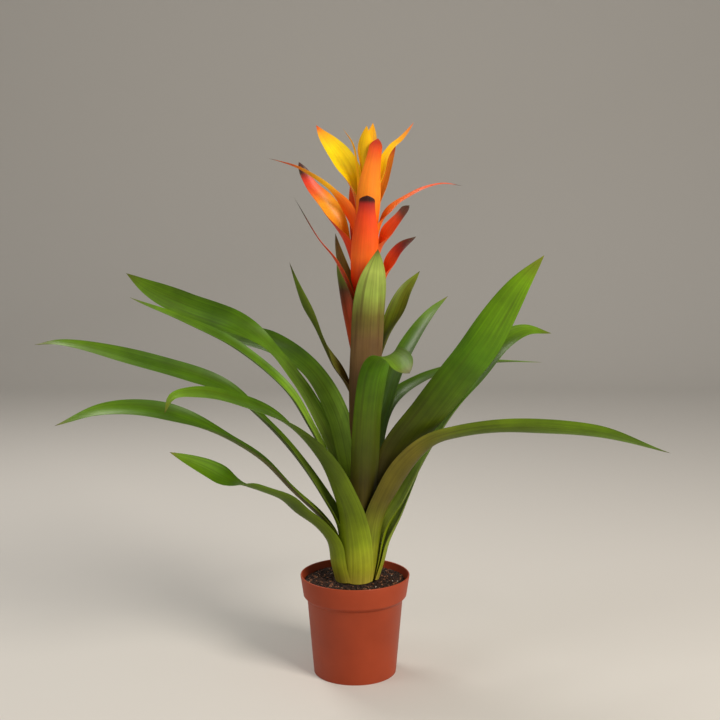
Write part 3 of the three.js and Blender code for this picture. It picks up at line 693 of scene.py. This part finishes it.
def living_tissue(name, vein_gap, mottle, roughness, glow, streak_hex, streaks):
    """A waxy skin over soft tissue, with veins along it, coloured by the tint attribute.

    vein_gap is in shares of the half width. The real veins are under 1 mm apart, too fine to
    show, so they are drawn about 2 mm apart.
    """
    made = material(name)
    tree = made.node_tree
    strip = add(tree, "ShaderNodeAttribute", attribute_name="strip")
    tint = add(tree, "ShaderNodeAttribute", attribute_name="tint")
    parts = add(tree, "ShaderNodeSeparateXYZ", {0: strip.outputs["Vector"]})
    drawn_out = add(tree, "ShaderNodeVectorMath", {
        0: strip.outputs["Vector"], 1: (1 / vein_gap, 7.0, 3.0)}, operation="MULTIPLY")
    veins = add(tree, "ShaderNodeTexNoise", {
        "Vector": drawn_out.outputs["Vector"], "Scale": 1.0, "Detail": 2.0, "Roughness": 0.6})
    place = add(tree, "ShaderNodeTexCoord").outputs["Object"]
    cloud = add(tree, "ShaderNodeTexNoise", {"Vector": place, "Scale": 34.0, "Detail": 3.0})
    vein_tone = add(tree, "ShaderNodeMapRange", {
        "Value": veins.outputs["Fac"], "From Min": 0.3, "From Max": 0.7,
        "To Min": 1 - mottle, "To Max": 1 + mottle})
    cloud_tone = add(tree, "ShaderNodeMapRange", {
        "Value": cloud.outputs["Fac"], "From Min": 0.3, "From Max": 0.7,
        "To Min": 1 - mottle, "To Max": 1 + mottle})
    tone = add(tree, "ShaderNodeMath", {
        0: vein_tone.outputs["Result"], 1: cloud_tone.outputs["Result"]}, operation="MULTIPLY")
    shaded = add(tree, "ShaderNodeVectorMath", {
        0: tint.outputs["Color"], "Scale": tone.outputs["Value"]}, operation="SCALE")
    long_streaks = add(tree, "ShaderNodeVectorMath", {
        0: strip.outputs["Vector"], 1: (4.5, 9.0, 1.0)}, operation="MULTIPLY")
    blot = add(tree, "ShaderNodeTexNoise", {
        "Vector": long_streaks.outputs["Vector"], "Scale": 1.0, "Detail": 4.0})
    streaked = add(tree, "ShaderNodeMapRange", {
        "Value": blot.outputs["Fac"], "From Min": 0.5, "From Max": 0.72, "To Max": streaks})
    colour = add(tree, "ShaderNodeMix", {
        0: streaked.outputs["Result"], "A": shaded.outputs["Vector"], "B": linear(streak_hex)},
        data_type="RGBA")
    gloss = add(tree, "ShaderNodeMapRange", {
        "Value": parts.outputs["Z"], "To Min": roughness + 0.14, "To Max": roughness})
    ribbed = add(tree, "ShaderNodeBump", {
        "Height": veins.outputs["Fac"], "Strength": 0.3, "Distance": 0.0006})
    finished(tree, add(tree, "ShaderNodeBsdfPrincipled", {
        "Base Color": colour.outputs["Result"], "Roughness": gloss.outputs["Result"],
        "IOR": 1.4, "Specular IOR Level": 0.3, "Subsurface Weight": glow,
        "Subsurface Radius": (0.6, 1.0, 0.3), "Subsurface Scale": 0.0015, "Coat Weight": 0.06,
        "Coat Roughness": 0.25,
        "Normal": ribbed.outputs["Normal"]}))
    return made


# A living leaf: a smooth green skin under thin wax, so soft highlights run along the blade; the
# veins show as faint lines, and old leaves are clouded with brown.
leaf_skin = living_tissue("bromeliad leaf, living", 0.13, 0.2, 0.46, 0.04, "#3a3204", 0.3)

for i, (node, spec) in enumerate(ROSETTE_LEAVES.items()):
    made = blade(f"{node}_live", rosette_points(spec), spec, LEAF_RUN,
                 LEAF_THICKNESS, (spec.get("upper", LEAF_UPPER), spec.get("lower", LEAF_LOWER)),
                 leaf_skin, (*LEAF_RIPPLE, 1.7 * i))
    piece(made, "leaf", node)


# ---- Flower stem ------------------------------------------------------------------------------
# The round green stem that grew up through the middle of the nest and carries the flower. Only
# short stretches of it show between the leaves that clasp it.

STEM = {"foot": 104.3, "top": 486.0, "foot_radius": 5.0, "top_radius": 3.4, "sides": 24}

steps = 60
heights = np.linspace(STEM["foot"], STEM["top"], steps)


def stem_radius(height):
    """Radius of the stem at a height."""
    share = (height - STEM["foot"]) / (STEM["top"] - STEM["foot"])
    return STEM["foot_radius"] + (STEM["top_radius"] - STEM["foot_radius"]) * share


rim = np.linspace(0, 2 * pi, STEM["sides"], endpoint=False)
vertices = [(axis_x(z) + stem_radius(z) * cos(a), stem_radius(z) * sin(a), z)
            for z in heights for a in rim]
sides = STEM["sides"]
faces = [(i * sides + k, i * sides + (k + 1) % sides, (i + 1) * sides + (k + 1) % sides,
          (i + 1) * sides + k) for i in range(steps - 1) for k in range(sides)]
faces += [tuple(range(sides - 1, -1, -1)), tuple(range((steps - 1) * sides, steps * sides))]

# A smooth fleshy stem: olive green, flushed with purple-brown.
stem_skin = material("bromeliad stem, living")
tree = stem_skin.node_tree
place = add(tree, "ShaderNodeTexCoord").outputs["Object"]
flush = add(tree, "ShaderNodeTexNoise", {"Vector": place, "Scale": 40.0, "Detail": 4.0})
green = add(tree, "ShaderNodeMix", {
    0: flush.outputs["Fac"], "A": linear("#66702a"), "B": linear("#5c3b26")}, data_type="RGBA")
finished(tree, add(tree, "ShaderNodeBsdfPrincipled", {
    "Base Color": green.outputs["Result"], "Roughness": 0.45, "IOR": 1.45}))
stem = mesh_object("flower_stem_live", millimetres(vertices), faces, stem_skin)
stem.data.set_sharp_from_angle(angle=radians(50))
piece(stem, "stem", "flower_stem")


# ---- Stem leaves ------------------------------------------------------------------------------
# Short pointed leaves that clasp the flower stem below the flower, flushed with red or
# purple-brown towards the foot. The front one is pale green at its tip.

STEM_LEAF = {"foot": 1.1, "blade": 0.8, "run": (10, 70), "ripple": (0.25, 60.0)}
STEM_LEAF_UPPER = ((0.0, "#6b3f1c"), (0.3, "#5a5418"), (0.5, "#5c6a18"), (0.97, "#6a7e20"),
                   (1.0, "#3c2c1c"))
STEM_LEAF_LOWER = ((0.0, "#5a3318"), (0.3, "#4a3a10"), (0.55, "#4f5a10"), (0.9, "#5c7414"),
                   (1.0, "#3c2c1c"))
STEM_LEAF_PALE = ((0.0, "#5a3a20"), (0.4, "#5c4224"), (0.6, "#6c5230"), (0.7, "#70682a"),
                  (0.8, "#8ea244"), (0.9, "#a4b654"), (0.96, "#90a444"), (1.0, "#4a3a1c"))
# The rear left stem leaf: its red foot is its own colour; the pale green above it is painted
# light that lifts the shade it stands in.
STEM_LEAF_PAINTED_LIGHT_TOP = ((0.0, "#c8401a"), (0.35, "#b84a2a"), (0.5, "#8a5a34"), (0.65, "#8a9a4c"),
                   (0.85, "#94b05c"), (1.0, "#5a6a28"))
STEM_LEAF_RED_FOOT = ((0.0, "#c8401a"), (0.46, "#c0421e"), (0.64, "#8a3418"), (0.78, "#4e2a14"),
                      (0.88, "#5a6418"), (1.0, "#64701e"))

STEM_LEAVES = {
    "stem_leaf_front": {
        "azimuth": (285, 287), "foot": 222, "width": 42, "wrap": 1.4, "channel": 21,
        "shoulder": 0.72, "lower": STEM_LEAF_PALE,
        "midrib": ((9, 250), (15, 290), (20, 340), (25, 390), (33, 430), (45, 466))},
    "stem_leaf_rear": {
        "azimuth": (93, 92), "foot": 240, "width": 18, "wrap": 0.66, "channel": 16,
        "shoulder": 0.35,
        "midrib": ((8, 270), (12, 310), (18, 350), (28, 382), (42, 404))},
    "stem_leaf_left": {
        "azimuth": (186, 192), "foot": 285, "width": 20, "wrap": 0.9, "channel": 12,
        "shoulder": 0.35, "twist": ((0.3, -30), (0.5, 0), (0.75, 40), (1, 30)),
        "midrib": ((11, 305), (21, 325), (37, 350), (53, 383), (69, 418), (82, 452))},
    "stem_leaf_right": {
        "azimuth": (25, 30), "foot": 300, "width": 24, "wrap": 1.0, "channel": 14,
        "shoulder": 0.55, "twist": ((0.45, 0), (0.75, 45)),
        "midrib": ((10, 320), (18, 345), (32, 380), (48, 418), (67, 441))},
    "stem_leaf_front_left": {
        "azimuth": (212, 208), "foot": 325, "width": 28, "wrap": 1.0, "channel": 14,
        "shoulder": 0.55, "lower": STEM_LEAF_RED_FOOT,
        "midrib": ((10, 345), (17, 370), (25, 401), (31, 428), (36, 450))},
    "stem_leaf_rear_left": {
        "azimuth": (152, 156), "foot": 345, "width": 30, "wrap": 1.0, "channel": 15,
        "shoulder": 0.55, "upper": STEM_LEAF_PAINTED_LIGHT_TOP, "lower": STEM_LEAF_PAINTED_LIGHT_TOP,
        "midrib": ((10, 365), (15, 388), (21, 413), (32, 448), (38, 482))},
}

# As the rosette leaf, with broad purple-brown streaks along it.
stem_leaf_skin = living_tissue(
    "bromeliad stem leaf, living", 0.13, 0.2, 0.42, 0.06, "#4a2a18", 0.6)


def stem_points(spec, thickness):
    """A leaf or bract on the stem has its foot against the stem."""
    reach = stem_radius(spec["foot"]) + 0.3 + thickness / 2
    return [placed(reach, spec["azimuth"][0], spec["foot"]), *midrib_points(spec)]


for i, (node, spec) in enumerate(STEM_LEAVES.items()):
    faces_colours = (spec.get("upper", STEM_LEAF_UPPER), spec.get("lower", STEM_LEAF_LOWER))
    made = blade(f"{node}_live", stem_points(spec, STEM_LEAF["foot"]), spec, STEM_LEAF["run"],
                 STEM_LEAF["blade"], faces_colours, stem_leaf_skin,
                 (*STEM_LEAF["ripple"], 2.1 * i), rings=60)
    piece(made, "stem_leaf", node)


# ---- Flower bracts ----------------------------------------------------------------------------
# The flower's showy parts are coloured leaves, not petals. The lowest are red, the middle ones
# orange and the topmost yellow; the tips of the lower ones have dried dark.

# A tail is the (share of length, share of width) where the narrow end of a bract starts. The
# colours go from the foot to the tip; a bract with an "inner" list has another inner face.
FLOWER_BRACTS = (
    {"azimuth": (195, 195), "foot": 380, "width": 18, "shoulder": 0.3, "tail": (0.7, 0.35),
     "midrib": ((13, 402), (22, 430), (34, 454), (53, 477), (80, 520)),
     "outer": ((0.0, "#e24010"), (0.66, "#e04a18"), (0.8, "#8a3418"), (0.88, "#3a3018"),
               (1.0, "#241e12"))},
    # The second bract's lower half is painted brighter than its own orange, as painted light that
    # lifts the shade it stands in.
    {"azimuth": (335, 335), "foot": 385, "width": 26, "shoulder": 0.5,
     "twist": ((0.35, 0), (0.7, 55)),
     "midrib": ((12, 402), (22, 430), (39, 465), (57, 479)),
     "outer": ((0.0, "#fc6a24"), (0.64, "#f8602a"), (0.77, "#b0382c"), (0.86, "#66302a"),
               (1.0, "#3a2c18"))},
    {"azimuth": (85, 85), "foot": 390, "width": 30, "shoulder": 0.4,
     "midrib": ((12, 410), (24, 445), (36, 480), (52, 506)),
     "outer": ((0.0, "#cf3c12"), (0.8, "#d63c1c"), (0.95, "#5a1c14"), (1.0, "#2a1a12"))},
    {"azimuth": (257, 275), "foot": 396, "width": 35, "shoulder": 0.58, "tail": (0.96, 0.5),
     "midrib": ((12, 418), (22, 450), (29, 485), (31, 521)),
     "outer": ((0.0, "#e8340a"), (0.3, "#ee4410"), (0.5, "#fc6e20"), (0.7, "#f05418"),
               (0.84, "#d84018"), (0.93, "#a8241c"), (0.96, "#34140f"), (1.0, "#24100e"))},
    {"azimuth": (195, 178), "foot": 403, "width": 31, "shoulder": 0.6, "tail": (0.9, 0.5),
     "twist": ((0.35, 0), (0.65, -45)),
     "midrib": ((9, 420), (14, 445), (21, 466), (31, 487), (46, 513), (62, 533), (74, 557)),
     "outer": ((0.0, "#d83c12"), (0.6, "#dc441a"), (0.86, "#c93224"), (0.92, "#3a2320"),
               (1.0, "#2a1c1a")),
     "inner": ((0.0, "#d84a10"), (0.35, "#e8901c"), (0.7, "#e69a24"), (0.79, "#e2602a"),
               (0.87, "#d03828"), (0.93, "#3a2320"), (1.0, "#2a1c1a"))},
    # The sixth bract is painted brighter than its own orange, as painted light that lifts the
    # shade it stands in.
    {"azimuth": (340, 336), "foot": 408, "width": 28, "shoulder": 0.6, "tail": (0.92, 0.6),
     "twist": ((0.42, 0), (0.72, 50)),
     "midrib": ((8, 424), (13, 455), (25, 480), (38, 498), (48, 511)),
     "outer": ((0.0, "#ff7c30"), (0.6, "#ff7230"), (0.8, "#f4562c"), (0.9, "#6c4038"),
               (1.0, "#3a302c"))},
    {"azimuth": (110, 110), "foot": 418, "width": 28, "shoulder": 0.4,
     "midrib": ((9, 434), (18, 466), (34, 506), (54, 540)),
     "outer": ((0.0, "#d8480f"), (0.85, "#dc5018"), (0.96, "#8c2414"), (1.0, "#4a1c12"))},
    {"azimuth": (350, 350), "foot": 424, "width": 26, "shoulder": 0.3, "tail": (0.62, 0.22),
     "twist": ((0.36, 0), (0.55, 50), (1, 20)),
     "midrib": ((8, 440), (13, 483), (20, 501), (30, 513), (44, 522), (61, 530), (80, 534),
                (101, 531)),
     "outer": ((0.0, "#f0901e"), (0.35, "#f08a24"), (0.52, "#f07222"), (0.75, "#ec5e2c"),
               (0.92, "#e25a3c"), (0.96, "#4a2a26"), (1.0, "#2e2220"))},
    {"azimuth": (185, 196), "foot": 430, "width": 24, "shoulder": 0.3, "tail": (0.6, 0.24),
     "twist": ((0.25, 0), (0.5, 55), (1, 20)),
     "midrib": ((10, 450), (15, 484), (23, 510), (34, 523), (46, 533), (76, 550), (92, 555),
                (109, 559)),
     "outer": ((0.0, "#e64a16"), (0.38, "#f0601c"), (0.52, "#f27c1c"), (0.62, "#fab81c"),
               (0.76, "#f59a20"), (0.86, "#e8562e"), (0.94, "#d04436"), (0.97, "#4a2424"),
               (1.0, "#2e1c1c"))},
    {"azimuth": (78, 78), "foot": 436, "width": 22, "shoulder": 0.4,
     "midrib": ((8.3, 456), (13.2, 491), (26, 530), (44, 566)),
     "outer": ((0.0, "#e8640f"), (0.85, "#f08a1a"), (0.96, "#d0561c"), (1.0, "#8c2c16"))},
    {"azimuth": (270, 298), "turn": (12, 19), "foot": 441, "width": 32, "shoulder": 0.5,
     "tail": (0.93, 0.5),
     "midrib": ((8.8, 464), (13.8, 505), (15.3, 540), (19, 580)),
     "outer": ((0.0, "#e2480f"), (0.35, "#ec6a14"), (0.6, "#f48e1e"), (0.8, "#ee7c1c"),
               (0.91, "#de5218"), (0.97, "#b42c12"), (1.0, "#a02410"))},
    {"azimuth": (37, 38), "foot": 446, "width": 20, "shoulder": 0.5,
     "twist": ((0.4, 0), (0.7, 30)),
     "midrib": ((6.8, 462), (9.8, 490), (15, 525), (27, 559), (37, 581)),
     "outer": ((0.0, "#e0841a"), (0.6, "#d8801c"), (0.86, "#cc741c"), (0.95, "#a0201c"),
               (1.0, "#8c1418"))},
    {"azimuth": (158, 151), "foot": 453, "width": 30, "shoulder": 0.6,
     "twist": ((0.4, 0), (0.65, -45)),
     "midrib": ((7.7, 475), (11.7, 508), (21.5, 542), (32, 559), (46, 575), (58, 588),
                (66, 598)),
     "outer": ((0.0, "#b85412"), (0.4, "#d06c14"), (0.65, "#f0a814"), (0.9, "#fac81c"),
               (1.0, "#d85028")),
     "inner": ((0.0, "#f0a010"), (0.3, "#fab80a"), (0.48, "#ffd606"), (0.8, "#ffde14"),
               (0.93, "#f4a424"), (0.98, "#dc5428"), (1.0, "#c84024"))},
    {"azimuth": (25, 25), "foot": 456, "width": 26, "shoulder": 0.4, "tail": (0.75, 0.28),
     "twist": ((0.4, 0), (0.65, 40)),
     "midrib": ((6.8, 478), (9, 505), (12, 536), (17, 559), (26, 573), (37, 582), (46, 592),
                (52, 600)),
     "outer": ((0.0, "#f08a10"), (0.28, "#fab20c"), (0.5, "#ffd40a"), (0.76, "#fcc414"),
               (0.89, "#f49a2c"), (1.0, "#e86a44"))},
    {"azimuth": (200, 200), "foot": 462, "width": 16, "shoulder": 0.35, "tail": (0.75, 0.35),
     "midrib": ((7, 482), (10.5, 520), (13, 550), (18, 574), (30, 591)),
     "outer": ((0.0, "#f0a010"), (0.7, "#fab814"), (1.0, "#f2a01c"))},
    {"azimuth": (335, 340), "foot": 467, "width": 15, "shoulder": 0.5,
     "midrib": ((5.5, 490), (7.6, 520), (9, 550), (10, 568)),
     "outer": ((0.0, "#f0960e"), (0.7, "#fac010"), (1.0, "#f0a01a"))},
    {"azimuth": (236, 260), "turn": (8, 18), "foot": 474, "width": 24, "shoulder": 0.65,
     "midrib": ((4.8, 495), (6, 527), (8.5, 550), (13, 570), (18, 593)),
     "outer": ((0.0, "#f2a00c"), (0.4, "#fecc0a"), (0.9, "#fcc40c"), (1.0, "#f4a812"))},
    {"azimuth": (80, 50), "foot": 479, "width": 20, "shoulder": 0.65,
     "midrib": ((4.4, 498), (5, 527), (6.6, 562), (16, 599)),
     "outer": ((0.0, "#f2a00c"), (0.5, "#fac40c"), (0.9, "#f2b010"), (1.0, "#e89a16"))},
)
BRACT = {"foot": 0.8, "blade": 0.55, "run": (4, 60), "ripple": (0.15, 45.0)}
BRACT_TURN = (10, 45)
BRACT_SLOTS = {"bract_red": 7, "bract_orange": 12, "bract_yellow": 18}  # each up to this bract


# A living bract: thinner and glossier than a leaf, and light glows through it a little.
bract_skin = living_tissue("bromeliad bract, living", 0.16, 0.09, 0.42, 0.16, "#c02408", 0.2)

for i, bract in enumerate(FLOWER_BRACTS):
    node = f"flower_bract_{i + 1:02d}"
    spec = {"wrap": 0.9, "channel": 16, "turn": BRACT_TURN, **bract}
    made = blade(f"{node}_live", stem_points(spec, BRACT["foot"]), spec, BRACT["run"],
                 BRACT["blade"], (spec.get("inner", spec["outer"]), spec["outer"]), bract_skin,
                 (*BRACT["ripple"], 1.1 * i), rings=72)
    piece(made, next(slot for slot, last in BRACT_SLOTS.items() if i < last), node)
